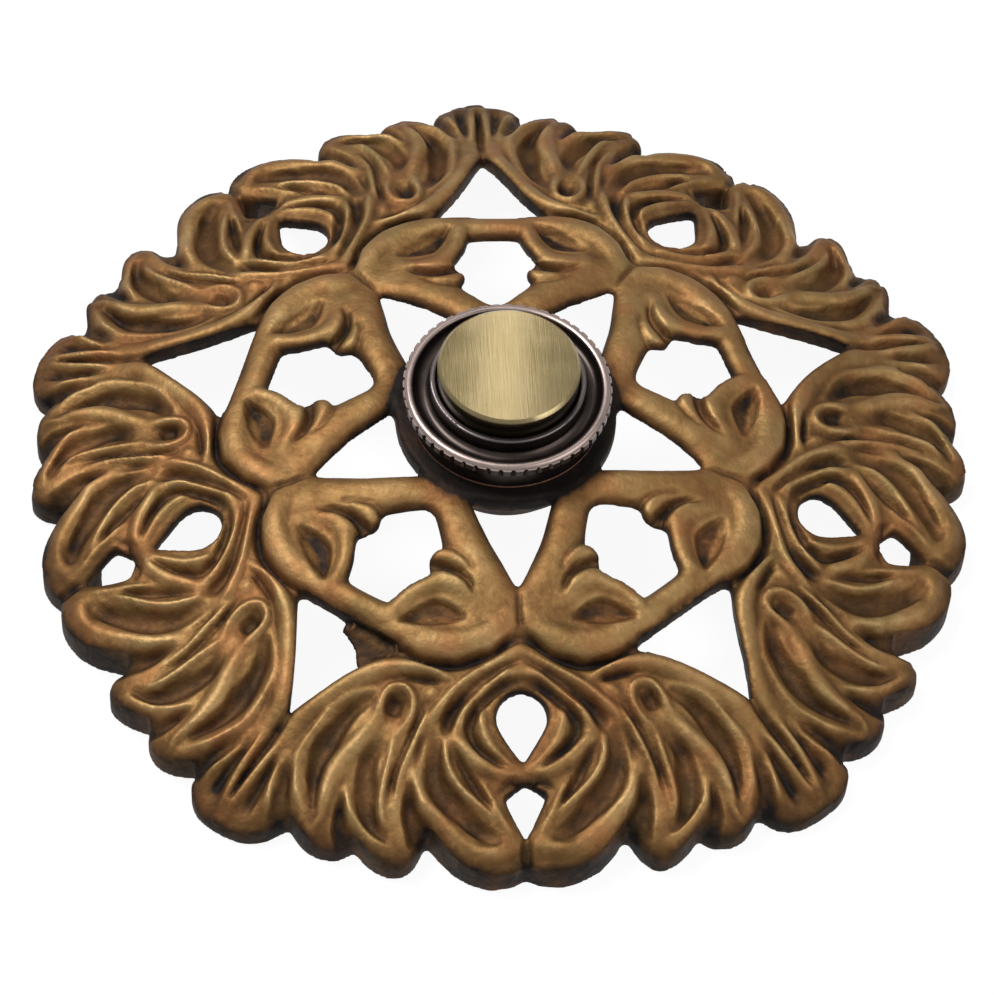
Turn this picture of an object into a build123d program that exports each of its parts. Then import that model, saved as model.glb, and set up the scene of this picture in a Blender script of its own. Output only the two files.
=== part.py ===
import os
from math import acos, cos, degrees, pi, radians, sin, sqrt

from build123d import *

# A pierced rosette doorbell: a domed cast plate of five leaf clusters round a
# knurled bell push. Millimetres. The origin lies on the wall plane at the
# centre of the rosette, +Z points out of the wall, and one leaf cluster
# points along -Y.

# Plate
clusters = 5
tip_r = 54.0
crown_z = 14.7          # height of the leaf surface over the wall at the centre
dome_drop = 12.4        # how far that surface falls from the centre to the tips
wall = 1.8              # thickness of the leaves, square to the surface
rim_land = 7.8          # flat back of the rim, in from the tips
lattice_rise = 0.6      # how far the scroll lattice stands over the leaves
lattice_wall = 1.6
lattice_back_r = 28.0   # the back is hollowed deeper inside this radius

# Hub of the plate
hub_w = 0.75            # how far the hub shows round the bezel ring
hub_sink = 0.3          # how far its top lies below the crown of the leaves
hub_t = 2.4

# Carving
arc_cuts = 2            # straight cuts that make up one short carved arc
flute_cuts = 3          # the same for the long side of a flute
flute_depth = 0.95
cup_depth = 0.9
eye_depth = 1.2
eye_r = 1.25
scroll_depth = 1.1
vein_depth = 0.85
web_drop = 1.3

# Screw openings of the plate
screw_hole_r = 2.6

# Bell push, from the button outwards
running = 0.05
button_r = 7.65
button_stand = 2.85     # how far the button stands over the collar
button_crown = 0.3
button_round = 0.35
button_skin = 0.75
button_flange_w = 0.45
button_flange_t = 0.6
travel = 1.4
stop_gap = 0.05
collar_wall = 0.7
collar_flange_w = 1.1
collar_flange_t = 0.6
collar_stand = 1.0      # how far the collar stands over the bezel ring
collar_edge = 0.2
flange_gap = 0.15       # between the button's flange and the barrel
barrel_wall = 0.55
barrel_step = 1.25      # from the chamber in to the narrower bore below it
barrel_l = 7.5
body_flange_t = 1.7
gasket_t = 0.3
gasket_inset = 0.05

# Bezel ring
ring_wall = 0.75
ring_edge = 0.95        # how far the knurled edge stands out over the ring's skirt
ring_face_t = 0.85
knurl_foot = 0.65
knurl_h = 1.0
knurl_count = 52
knurl_depth = 0.3
knurl_chamfer = 0.2
lip_step = 0.2
lip_w = 0.95
lip_h = 0.35
lip_inner_h = 0.5
dish_lift = 0.35

# Parts under the hub
washer_t = 0.5
washer_w = 2.2          # how far the washer stands out round the barrel
nut_t = 1.8
nut_w = 1.6
nut_slot = 2.0
base_t = 1.4
base_seat = 0.75        # how far the contact base is let into the barrel's wall
base_inset = 0.3
snap_t = 0.4
snap_depth = 0.4
snap_w = 0.75
snap_gap = 1.5

# Switch
plunger_disc_t = 1.0
stem_r = 1.5
tip_pin_r = 0.9
tip_pin_past = 0.1      # how far the pin stands past its clip
bush_flange_r = 2.6
bush_flange_t = 0.4
bush_r = 1.6
contact_disc_t = 0.5
clip_clear = 0.6        # from the plunger's clip to the contact strips
clip_t = 0.4
well_gap = 0.4
well_clear = 0.7        # under the pin when the button is pressed home
spring_gap = 0.45       # between the spring and the barrel
spring_wire_r = 0.25
spring_coils = 4
strip_t = 0.25
strip_w = 3.0
strip_end = 1.2
pip_r = 0.6
pip_t = 0.15
pip_inset = 0.9         # from the contact disc's edge in to the pips
terminal_gap = 1.5      # from the pips out to the terminal screws
terminal_clear = 0.3    # from a terminal's washer to the snap ring
terminal_shank_r = 1.0
terminal_head_r = 1.8
terminal_head_t = 1.4
terminal_washer_r = 2.1
terminal_washer_t = 0.4
slot_w = 0.6
slot_depth = 0.6

# Ornament: its plans are drawn 54 mm out to the tips
sector = 360 / clusters
gap_angle = sector / 2 - 90
stretch = tip_r / 54
screw_hole_y = -35.4 * stretch
screw_hole_point = -40.3 * stretch
dome_r = (tip_r * tip_r + dome_drop * dome_drop) / (2 * dome_drop)
dome_centre = crown_z - dome_r
dome_edge = 1.1 * tip_r
cut_height = 1.5 * crown_z

# Radii of the push
collar_bore = button_r + running
collar_r = collar_bore + collar_wall
body_flange_r = collar_r + collar_flange_w
button_inner_r = button_r - button_skin
button_flange_r = button_r + button_flange_w
chamber_r = button_flange_r + flange_gap
skirt_r = chamber_r + barrel_wall
skirt_bore = chamber_r - barrel_step
spring_r = skirt_bore - spring_gap - spring_wire_r
ring_inner_r = collar_r + running
ring_socket_r = body_flange_r + running
ring_skirt_r = ring_socket_r + ring_wall
ring_r = ring_skirt_r + ring_edge
lip_outer_r = ring_r - lip_step
lip_inner_r = lip_outer_r - lip_w
gasket_r = ring_skirt_r - gasket_inset
hub_r = ring_r + hub_w
washer_r = skirt_r + washer_w
nut_r = skirt_r + nut_w
base_r = skirt_bore + base_seat
snap_groove_r = base_r + running + snap_depth
snap_inner_r = base_r - snap_w

# Heights of the push, up from the hub
hub_top = crown_z - hub_sink
hub_bottom = hub_top - hub_t
barrel_foot = hub_top + gasket_t
body_top = barrel_foot + body_flange_t
ring_socket_top = body_top + collar_flange_t
dish_floor = ring_socket_top + ring_face_t
dish_rim = dish_floor + dish_lift
knurl_bottom = ring_socket_top + knurl_foot
knurl_top = knurl_bottom + knurl_h
ring_top = knurl_top + lip_h
lip_foot = ring_top - lip_inner_h
collar_top = ring_top + collar_stand
button_top = collar_top + button_stand
button_edge = button_top - button_crown
flange_top = body_top - stop_gap
flange_bottom = flange_top - button_flange_t
chamber_floor = flange_bottom - travel - stop_gap

# Heights down inside the barrel, up from its foot
skirt_bottom = barrel_foot - barrel_l
snap_bottom = skirt_bottom + base_inset
base_bottom = snap_bottom + snap_t
base_top = base_bottom + base_t
contact_top = base_top + strip_t + pip_t
disc_bottom = contact_top + travel
disc_top = disc_bottom + contact_disc_t
stem_bottom = disc_top + bush_flange_t
tip_pin_bottom = disc_bottom - clip_t - tip_pin_past
well_floor = tip_pin_bottom - travel - well_clear
washer_bottom = base_bottom - terminal_washer_t

# Plan places of the switch
terminal_x = snap_inner_r - terminal_washer_r - terminal_clear
pip_x = terminal_x - terminal_gap
strip_in = pip_x - pip_r
strip_out = terminal_x + strip_end
contact_disc_r = pip_x + pip_inset
clip_r = strip_in - clip_clear

# Crown of the button
crown_reach = button_r - button_round
crown_r = (crown_reach * crown_reach + button_crown * button_crown) / (2 * button_crown)

os.makedirs("parts", exist_ok=True)


def polar(r, angle):
    """A plan point at a radius, with the angle counted from the -Y axis."""
    return (r * sin(radians(angle)), -r * cos(radians(angle)))


def gap(g, h):
    """A plan point g out along the axis between two clusters, h to its side."""
    a = radians(gap_angle)
    return (g * cos(a) + h * sin(a), g * sin(a) - h * cos(a))


def flip(points):
    """The same points on the other side of the cluster's axis."""
    return [(-x, y) for x, y in points]


def both(points):
    return [points, flip(points)]


def carved_arc(start, through, end, cuts=arc_cuts):
    """An arc in a few straight cuts of equal length."""
    arc = ThreePointArc(start, through, end, mode=Mode.PRIVATE)
    Polyline(*[arc @ (i / cuts) for i in range(cuts + 1)])


def crescent(tip_a, outer, tip_b, inner, cuts=flute_cuts):
    """A leaf-shaped closed outline of two arcs."""
    carved_arc(tip_a, outer, tip_b, cuts)
    carved_arc(tip_b, inner, tip_a, cuts)


def dome(rise):
    """A solid bounded above by the dome surface, moved out by rise."""
    r = dome_r + rise
    with BuildPart() as cap:
        with BuildSketch(Plane.XZ):
            with BuildLine():
                edge_z = dome_centre + sqrt(r * r - dome_edge * dome_edge)
                half = asin_half(dome_edge, r)
                middle = (r * sin(half), dome_centre + r * cos(half))
                Line((0, -cut_height), (0, dome_centre + r))
                ThreePointArc((0, dome_centre + r), middle, (dome_edge, edge_z))
                Line((dome_edge, edge_z), (dome_edge, -cut_height))
                Line((dome_edge, -cut_height), (0, -cut_height))
            make_face()
        revolve(axis=Axis.Z)
    return cap.part


def asin_half(x, r):
    """Half of the angle at which a sphere of radius r reaches the radius x."""
    return (pi / 2 - acos(x / r)) / 2


# Rim of one half cluster, from its own axis to the axis of the gap: each lobe
# leans towards the cluster, with a notch after it
rim = [
    ((50.8, 0), (51.5, 4.5), (50.1, 9.0)),
    ((50.1, 9.0), (48.6, 11.0), (47.3, 12.8)),
    ((47.3, 12.8), (50.2, 13.9), (51.5, 15.6)),
    ((51.5, 15.6), (51.1, 18.2), (49.6, 21.2)),
    ((49.6, 21.2), (51.0, 22.4), (51.7, 24.3)),
    ((51.7, 24.3), (51.5, 26.8), (50.0, 29.4)),
    ((50.0, 29.4), (52.5, 30.7), (53.6, 32.6)),
    ((53.6, 32.6), (54.0, 34.2), (54.0, 36)),
]

with BuildSketch() as plate_plan:
    with BuildLine():
        for k in range(clusters):
            for a, m, b in rim:
                for side in (1, -1):
                    carved_arc(*[polar(r, side * t + k * sector) for r, t in (a, m, b)])
    make_face()
    scale(by=stretch)

# The scroll lattice inside the leaves: two round shoulders to each cluster,
# with straight bars between neighbours
shoulder = [
    [(0, -26.2), (2.9, -28.9), (6.5, -29.9)],
    [(6.5, -29.9), (9.8, -29.4), gap(29.8, 6.6)],
]
with BuildSketch() as lattice_plan:
    with BuildLine():
        for k in range(clusters):
            turn = k * sector
            for a, m, b in shoulder:
                for side in (1, -1):
                    places = [Vector(side * x, y) for x, y in (a, m, b)]
                    carved_arc(*[place.rotate(Axis.Z, turn) for place in places])
            Line(Vector(*gap(29.8, 6.6)).rotate(Axis.Z, turn),
                 Vector(*gap(29.8, -6.6)).rotate(Axis.Z, turn))
    make_face()
    scale(by=stretch)

# Openings: the triangle beyond each bar, the heart between two spokes and the
# triangle on each cluster's axis
with BuildSketch() as gap_plan:
    with BuildLine():
        Line(gap(29.7, 6.6), gap(29.7, -6.6))
        carved_arc(gap(29.7, 6.6), gap(35.0, 3.5), gap(41.6, 0))
        carved_arc(gap(29.7, -6.6), gap(35.0, -3.5), gap(41.6, 0))
    make_face()
    scale(by=stretch)

with BuildSketch() as heart_plan:
    with BuildLine():
        for s in (1, -1):
            carved_arc(gap(15.0, 0), gap(16.3, 2.0 * s), gap(18.1, 3.9 * s))
            carved_arc(gap(18.1, 3.9 * s), gap(19.6, 3.3 * s), gap(21.0, 4.0 * s))
            Line(gap(21.0, 4.0 * s), gap(21.7, 4.7 * s))
            carved_arc(gap(21.7, 4.7 * s), gap(23.9, 3.4 * s), gap(26.2, 2.8 * s))
        Line(gap(26.2, 2.8), gap(26.2, -2.8))
    make_face()
    scale(by=stretch)

inner_foot = hub_r - 0.9
inner_middle = (22.2 * stretch + inner_foot) / 2
with BuildSketch() as inner_plan:
    with BuildLine():
        Polyline(
            (0, -22.2 * stretch),
            (2.7, -inner_middle),
            (4.4, -inner_foot),
            (-4.4, -inner_foot),
            (-2.7, -inner_middle),
            close=True,
        )
    make_face()

# Screw opening with a round head end and a point, and the small kite beyond
tangent = degrees(acos(screw_hole_r / (screw_hole_y - screw_hole_point)))
touch_x = screw_hole_r * sin(radians(tangent))
touch_y = screw_hole_y - screw_hole_r * cos(radians(tangent))
with BuildSketch() as drop_plan:
    with BuildLine():
        ThreePointArc((touch_x, touch_y), (0, screw_hole_y + screw_hole_r), (-touch_x, touch_y))
        Line((-touch_x, touch_y), (0, screw_hole_point))
        Line((0, screw_hole_point), (touch_x, touch_y))
    make_face()

with BuildSketch() as kite_plan:
    with BuildLine():
        Polyline((0, -42.4), (2.2, -43.7), (0, -47.7), (-2.2, -43.7), close=True)
    make_face()
    scale(by=stretch)

with BuildSketch() as openings_plan:
    with PolarLocations(0, clusters):
        add(gap_plan.sketch)
        add(heart_plan.sketch)
        add(inner_plan.sketch)
        add(drop_plan.sketch)
        add(kite_plan.sketch)

# Carving of the leaf ring, right half of a cluster: each flute runs from its
# root beside the scroll to the tip of its lobe, as two arcs, with narrow cuts
# between the lobes
flutes = [
    [(7.6, -37.6), (8.7, -45.0), (1.1, -49.5), (5.2, -44.5)],
    [(13.4, -37.4), (16.7, -43.2), (13.4, -48.4), (14.2, -43.2)],
    [(14.6, -33.2), (21.7, -37.6), (21.3, -46.0), (19.6, -39.2)],
]
narrow_cuts = [
    [(9.5, -34.8), (11.7, -40.8), (10.4, -45.2), (10.2, -41.0)],
    [gap(42.6, 3.2), gap(47.6, 5.0), gap(52.2, 3.4), gap(47.8, 2.5)],
]
seam_half = 0.75
with BuildSketch() as flute_plan:
    for points in flutes:
        for a, m, b, n in both(points):
            with BuildLine():
                crescent(a, m, b, n)
            make_face()
    for points in narrow_cuts:
        for cut in both(points):
            with BuildLine():
                Polyline(*cut, close=True)
            make_face()
    with BuildLine():
        Polyline(gap(42.6, 0), gap(48.2, seam_half), gap(53.0, 0), gap(48.2, -seam_half), close=True)
    make_face()
    scale(by=stretch)

with BuildSketch() as cup_plan:
    with BuildLine():
        carved_arc((4.3, -36.4), (0, -31.4), (-4.3, -36.4), 2 * arc_cuts)
        carved_arc((-4.3, -36.4), (-2.9, -39.6), (0, -41.5))
        carved_arc((0, -41.5), (2.9, -39.6), (4.3, -36.4))
    make_face()
    scale(by=stretch)

with BuildSketch() as eye_plan:
    with Locations((12.1, -33.4), (-12.1, -33.4)):
        RegularPolygon(eye_r / stretch, 4)
    scale(by=stretch)

# Carving of the lattice: the eye of each scroll and the vein of its leaf
scroll_eye = [(4.9, -25.3), (8.2, -23.6), (11.8, -24.9), (8.0, -26.4)]
leaf_vein = [(8.9, -20.3), (5.8, -21.6), (4.0, -23.7), (5.3, -20.9)]
with BuildSketch() as scroll_plan:
    for a, m, b, n in both(scroll_eye):
        with BuildLine():
            crescent(a, m, b, n, arc_cuts)
        make_face()
    scale(by=stretch)

with BuildSketch() as vein_plan:
    for cut in both(leaf_vein):
        with BuildLine():
            Polyline(*cut, close=True)
        make_face()
    with BuildLine():
        Polyline((0, -22.9), (0.45, -24.6), (0, -26.6), (-0.45, -24.6), close=True)
    make_face()
    scale(by=stretch)

# A stray web of metal left in one gap by the casting, low behind its bar
with BuildSketch() as web_plan:
    with BuildLine():
        Polyline(
            (-18.9, -22.6),
            (-18.6, -24.6),
            (-17.3, -26.8),
            (-17.1, -30.2),
            (-12.0, -29.2),
            (-13.0, -27.0),
            close=True,
        )
    make_face()
    scale(by=stretch)

# The hollow behind the leaves stops short of the rim, which lies flat, and the
# lattice is hollowed deeper
with BuildSketch() as hollow_plan:
    Circle(tip_r - rim_land)

with BuildSketch() as lattice_back_plan:
    Circle(lattice_back_r * stretch)


def carve(sketch, depth):
    """Prisms of a cluster's sketch, all round, that stop depth below the leaves."""
    with BuildPart() as cutter:
        with PolarLocations(0, clusters):
            add(sketch)
        extrude(amount=cut_height)
        add(dome(-depth), mode=Mode.SUBTRACT)
    return cutter.part


def shell(sketch, rise):
    """The part of a plan that lies between the wall plane and the dome."""
    with BuildPart() as layer:
        add(sketch)
        extrude(amount=cut_height)
        add(dome(rise), mode=Mode.INTERSECT)
    return layer.part


with BuildPart() as plate:
    add(shell(plate_plan.sketch, 0))
    add(shell(lattice_plan.sketch, lattice_rise))
    # Pierced openings
    add(openings_plan.sketch)
    extrude(amount=cut_height, mode=Mode.SUBTRACT)
    add(shell(web_plan.sketch, -web_drop))
    # The back is hollow, one wall behind the leaves and behind the lattice
    add(shell(hollow_plan.sketch, -wall), mode=Mode.SUBTRACT)
    add(shell(lattice_back_plan.sketch, lattice_rise - lattice_wall), mode=Mode.SUBTRACT)
    # Flat hub that carries the bell push, in place of the dome's middle
    with BuildSketch():
        Circle(hub_r)
    extrude(amount=cut_height, mode=Mode.SUBTRACT)
    with BuildSketch(Plane.XY.offset(hub_bottom)):
        Circle(hub_r)
    extrude(amount=hub_t)
    # Carving
    add(carve(flute_plan.sketch, flute_depth), mode=Mode.SUBTRACT)
    add(carve(cup_plan.sketch, cup_depth), mode=Mode.SUBTRACT)
    add(carve(eye_plan.sketch, eye_depth), mode=Mode.SUBTRACT)
    add(carve(scroll_plan.sketch, scroll_depth - lattice_rise), mode=Mode.SUBTRACT)
    add(carve(vein_plan.sketch, vein_depth - lattice_rise), mode=Mode.SUBTRACT)
    with BuildSketch(Plane.XY.offset(hub_bottom)):
        Circle(skirt_r + running)
    extrude(amount=cut_height, mode=Mode.SUBTRACT)
plate.part.label = "filigree_plate"
export_step(plate.part, "parts/filigree_plate.step")

# Push body: a turned barrel that drops through the hub, with a flange over it
with BuildPart() as push_body:
    with BuildSketch(Plane.XZ):
        with BuildLine():
            Polyline(
                (skirt_bore, base_top),
                (skirt_bore, chamber_floor),
                (chamber_r, chamber_floor),
                (chamber_r, body_top),
                (body_flange_r, body_top),
                (body_flange_r, barrel_foot),
                (skirt_r, barrel_foot),
                (skirt_r, skirt_bottom),
                (base_r + running, skirt_bottom),
                (base_r + running, snap_bottom),
                (snap_groove_r, snap_bottom),
                (snap_groove_r, base_bottom),
                (base_r + running, base_bottom),
                (base_r + running, base_top),
                close=True,
            )
        make_face()
    revolve(axis=Axis.Z)
push_body.part.label = "push_body"
export_step(push_body.part, "parts/push_body.step")

# Gasket between the hub and the barrel
with BuildPart() as seat_gasket:
    with BuildSketch(Plane.XY.offset(hub_top)):
        Circle(gasket_r)
        Circle(skirt_r + running, mode=Mode.SUBTRACT)
    extrude(amount=gasket_t)
seat_gasket.part.label = "seat_gasket"
export_step(seat_gasket.part, "parts/seat_gasket.step")

# Bezel ring: screwed over the body's flange, with a knurled edge, a rounded
# lip and a dished face round the collar
with BuildPart() as bezel_ring:
    with BuildSketch(Plane.XZ):
        with BuildLine():
            Polyline(
                (ring_inner_r, dish_rim),
                (ring_inner_r, ring_socket_top),
                (ring_socket_r, ring_socket_top),
                (ring_socket_r, barrel_foot),
                (ring_skirt_r, barrel_foot),
                (ring_skirt_r, knurl_bottom),
                (ring_r - knurl_chamfer, knurl_bottom),
                (ring_r, knurl_bottom + knurl_chamfer),
                (ring_r, knurl_top),
                (lip_outer_r, knurl_top),
            )
            ThreePointArc(
                (lip_outer_r, knurl_top),
                ((lip_outer_r + lip_inner_r) / 2, ring_top),
                (lip_inner_r, lip_foot),
            )
            ThreePointArc(
                (lip_inner_r, lip_foot),
                ((lip_inner_r + ring_inner_r) / 2, dish_floor),
                (ring_inner_r, dish_rim),
            )
        make_face()
    revolve(axis=Axis.Z)
    with BuildSketch(Plane.XY.offset(knurl_bottom)):
        with PolarLocations(ring_r, knurl_count):
            Rectangle(knurl_depth * sqrt(2), knurl_depth * sqrt(2), rotation=45)
    extrude(amount=knurl_top - knurl_bottom, mode=Mode.SUBTRACT)
bezel_ring.part.label = "bezel_ring"
export_step(bezel_ring.part, "parts/bezel_ring.step")

# Guide collar: clamped under the bezel ring, it guides the button and stops it
with BuildPart() as guide_collar:
    with BuildSketch(Plane.XY.offset(body_top)):
        Circle(body_flange_r - collar_edge)
        Circle(collar_bore, mode=Mode.SUBTRACT)
    extrude(amount=collar_flange_t)
    with BuildSketch(Plane.XY.offset(body_top)):
        Circle(collar_r)
        Circle(collar_bore, mode=Mode.SUBTRACT)
    extrude(amount=collar_top - body_top)
    fillet(guide_collar.edges().group_by(Axis.Z)[-1], collar_edge)
guide_collar.part.label = "guide_collar"
export_step(guide_collar.part, "parts/guide_collar.step")

# Button: a thin cap with a crowned face and a flange that the collar stops
with BuildPart() as button_cap:
    with BuildSketch(Plane.XZ):
        with BuildLine():
            Line((0, button_top - button_skin), (0, button_top))
            RadiusArc((0, button_top), (button_r - button_round, button_edge), crown_r)
            Polyline(
                (button_r - button_round, button_edge),
                (button_r, button_edge - button_round),
                (button_r, flange_top),
                (button_flange_r, flange_top),
                (button_flange_r, flange_bottom),
                (button_inner_r, flange_bottom),
                (button_inner_r, button_top - button_crown - button_skin),
                (0, button_top - button_skin),
            )
        make_face()
    revolve(axis=Axis.Z)
button_cap.part.label = "button_cap"
export_step(button_cap.part, "parts/button_cap.step")

# Plunger: a turned disc pressed into the cap, with a stem down its middle
with BuildPart() as plunger:
    with BuildSketch(Plane.XZ):
        with BuildLine():
            Polyline(
                (0, flange_bottom + plunger_disc_t),
                (button_inner_r, flange_bottom + plunger_disc_t),
                (button_inner_r, flange_bottom),
                (stem_r, flange_bottom),
                (stem_r, stem_bottom),
                (tip_pin_r, stem_bottom),
                (tip_pin_r, tip_pin_bottom),
                (0, tip_pin_bottom),
                close=True,
            )
        make_face()
    revolve(axis=Axis.Z)
plunger.part.label = "plunger"
export_step(plunger.part, "parts/plunger.step")

# Insulating bush on the plunger's tip, and the contact disc that it carries
with BuildPart() as disc_bush:
    with BuildSketch(Plane.XY.offset(disc_top)):
        Circle(bush_flange_r)
        Circle(tip_pin_r + running, mode=Mode.SUBTRACT)
    extrude(amount=bush_flange_t)
    with BuildSketch(Plane.XY.offset(disc_bottom)):
        Circle(bush_r)
        Circle(tip_pin_r + running, mode=Mode.SUBTRACT)
    extrude(amount=contact_disc_t)
disc_bush.part.label = "disc_bush"
export_step(disc_bush.part, "parts/disc_bush.step")

with BuildPart() as contact_disc:
    with BuildSketch(Plane.XY.offset(disc_bottom)):
        Circle(contact_disc_r)
        Circle(bush_r + running, mode=Mode.SUBTRACT)
    extrude(amount=contact_disc_t)
contact_disc.part.label = "contact_disc"
export_step(contact_disc.part, "parts/contact_disc.step")

with BuildPart() as plunger_clip:
    with BuildSketch(Plane.XY.offset(disc_bottom - clip_t)):
        Circle(clip_r)
        Circle(tip_pin_r, mode=Mode.SUBTRACT)
        with Locations((0, clip_r)):
            Rectangle(tip_pin_r, 2 * clip_r, mode=Mode.SUBTRACT)
    extrude(amount=clip_t)
plunger_clip.part.label = "plunger_clip"
export_step(plunger_clip.part, "parts/plunger_clip.step")

# Return spring, from the contact base up to the plunger's disc
spring_foot = base_top + spring_wire_r
spring_height = flange_bottom - base_top - 2 * spring_wire_r
with BuildPart() as return_spring:
    with BuildLine(Plane.XY.offset(spring_foot)) as coil:
        Helix(pitch=spring_height / spring_coils, height=spring_height, radius=spring_r)
    with BuildSketch(coil.line ^ 0):
        Circle(spring_wire_r)
    sweep(is_frenet=True)
return_spring.part.label = "return_spring"
export_step(return_spring.part, "parts/return_spring.step")

# Contact base: a moulded disc that closes the body, with a well for the
# plunger's tip and two terminal holes
with BuildPart() as contact_base:
    with BuildSketch(Plane.XY.offset(base_bottom)):
        Circle(base_r)
        with Locations((terminal_x, 0), (-terminal_x, 0)):
            Circle(terminal_shank_r + running, mode=Mode.SUBTRACT)
    extrude(amount=base_top - base_bottom)
    with BuildSketch(Plane.XY.offset(well_floor)):
        Circle(clip_r + well_gap)
    extrude(amount=base_t, mode=Mode.SUBTRACT)
contact_base.part.label = "contact_base"
export_step(contact_base.part, "parts/contact_base.step")

with BuildPart() as snap_ring:
    with BuildSketch(Plane.XY.offset(snap_bottom)):
        Circle(snap_groove_r - running)
        Circle(snap_inner_r, mode=Mode.SUBTRACT)
        with Locations((0, -snap_inner_r)):
            Rectangle(snap_gap, 2 * snap_gap, mode=Mode.SUBTRACT)
    extrude(amount=snap_t)
snap_ring.part.label = "snap_ring"
export_step(snap_ring.part, "parts/snap_ring.step")

# Both sides of the switch: a contact strip with its pip, a terminal screw
# from below and a washer under the screw's head
for side, word in ((-1, "left"), (1, "right")):
    with BuildPart() as fixed_contact:
        with BuildSketch(Plane.XY.offset(base_top)):
            with Locations((side * (strip_in + strip_out) / 2, 0)):
                Rectangle(strip_out - strip_in, strip_w)
            with Locations((side * terminal_x, 0)):
                Circle(terminal_shank_r, mode=Mode.SUBTRACT)
        extrude(amount=strip_t)
        with BuildSketch(Plane.XY.offset(base_top + strip_t)):
            with Locations((side * pip_x, 0)):
                Circle(pip_r)
        extrude(amount=pip_t)
    fixed_contact.part.label = "fixed_contact_" + word
    export_step(fixed_contact.part, "parts/fixed_contact_" + word + ".step")

    with BuildPart() as terminal_screw:
        with BuildSketch(Plane.XY.offset(washer_bottom - terminal_head_t)):
            with Locations((side * terminal_x, 0)):
                Circle(terminal_head_r)
        extrude(amount=terminal_head_t)
        with BuildSketch(Plane.XY.offset(washer_bottom)):
            with Locations((side * terminal_x, 0)):
                Circle(terminal_shank_r)
        extrude(amount=base_top + strip_t - washer_bottom)
        with BuildSketch(Plane.XY.offset(washer_bottom - terminal_head_t)):
            with Locations((side * terminal_x, 0)):
                Rectangle(slot_w, 3 * terminal_head_r)
        extrude(amount=slot_depth, mode=Mode.SUBTRACT)
    terminal_screw.part.label = "terminal_screw_" + word
    export_step(terminal_screw.part, "parts/terminal_screw_" + word + ".step")

    with BuildPart() as terminal_washer:
        with BuildSketch(Plane.XY.offset(washer_bottom)):
            with Locations((side * terminal_x, 0)):
                Circle(terminal_washer_r)
                Circle(terminal_shank_r + running, mode=Mode.SUBTRACT)
        extrude(amount=terminal_washer_t)
    terminal_washer.part.label = "terminal_washer_" + word
    export_step(terminal_washer.part, "parts/terminal_washer_" + word + ".step")

# Washer and slotted round nut that hold the body in the hub
with BuildPart() as hub_washer:
    with BuildSketch(Plane.XY.offset(hub_bottom - washer_t)):
        Circle(washer_r)
        Circle(skirt_r + running, mode=Mode.SUBTRACT)
    extrude(amount=washer_t)
hub_washer.part.label = "hub_washer"
export_step(hub_washer.part, "parts/hub_washer.step")

nut_bottom = hub_bottom - washer_t - nut_t
with BuildPart() as lock_nut:
    with BuildSketch(Plane.XY.offset(nut_bottom)):
        Circle(nut_r)
        Circle(skirt_r + running, mode=Mode.SUBTRACT)
    extrude(amount=nut_t)
    with BuildSketch(Plane.XY.offset(nut_bottom)):
        with PolarLocations(nut_r, 4):
            Rectangle(nut_slot, nut_slot)
    extrude(amount=nut_t / 2, mode=Mode.SUBTRACT)
lock_nut.part.label = "lock_nut"
export_step(lock_nut.part, "parts/lock_nut.step")
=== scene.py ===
import math
import bmesh
import bpy
import numpy as np
from mathutils import Matrix, Vector


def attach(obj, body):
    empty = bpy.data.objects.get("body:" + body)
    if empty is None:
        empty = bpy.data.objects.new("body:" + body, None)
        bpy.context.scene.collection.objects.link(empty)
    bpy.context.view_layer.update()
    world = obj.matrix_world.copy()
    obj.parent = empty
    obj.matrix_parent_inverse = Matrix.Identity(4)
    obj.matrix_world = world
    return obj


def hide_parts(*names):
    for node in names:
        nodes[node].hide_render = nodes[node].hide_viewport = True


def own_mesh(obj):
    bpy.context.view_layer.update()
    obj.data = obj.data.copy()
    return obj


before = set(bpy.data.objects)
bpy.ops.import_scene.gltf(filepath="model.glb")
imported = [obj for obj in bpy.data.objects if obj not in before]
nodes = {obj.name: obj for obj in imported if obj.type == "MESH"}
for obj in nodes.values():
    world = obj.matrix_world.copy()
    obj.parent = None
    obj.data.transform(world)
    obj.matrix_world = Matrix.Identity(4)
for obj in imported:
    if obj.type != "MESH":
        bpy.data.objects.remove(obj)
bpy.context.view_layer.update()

mm = 0.001

# The rosette: a domed and pierced brass casting of five leaf clusters round a
# scroll lattice. Its carving is soft from the sand mould, brown patina lies in
# the hollows, and handling has kept the ridges golden.
CLUSTERS = 5
LEAF_R = 123.78         # radius of the leaf surface
CROWN = 14.7            # height of that surface at the centre
WALL = 1.8
RIM_R = 46.2            # the back lies flat outside this radius
LATTICE_R = 29.5
LATTICE_BACK_R = 28.0
LATTICE_WALL = 1.6
LATTICE_RISE = 0.6
HUB_R = 12.0
HUB_TOP = 14.4
RIDGE_SCALE = 1.25      # what the strokes' heights and depths are multiplied by
FLUTE_SCALE = 1.1
SCROLL_SCALE = 1.2
SOFTENING = 0.25        # reach of the mould's rounding
CELL = 0.1              # of the maps
CUT_REACH = 0.7         # how far a blank's wall may stand off its line
STEEP = 0.65            # a wall's normals rise less than this
COARSE_VOXEL = 0.4
FINE_VOXEL = 0.27
MOST_TRIANGLES = 190000
half_sector = math.pi / CLUSTERS


def leaf_surface(r, rise=0.0):
    """Height of the domed leaf surface at a radius, moved out by rise."""
    reach = LEAF_R + rise
    return CROWN - LEAF_R + np.sqrt(reach * reach - r * r)


def gap(out, side):
    """A plan point out along the axis between two clusters, side towards the cluster."""
    return (out * math.sin(half_sector) - side * math.cos(half_sector),
            -out * math.cos(half_sector) - side * math.sin(half_sector))


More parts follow.
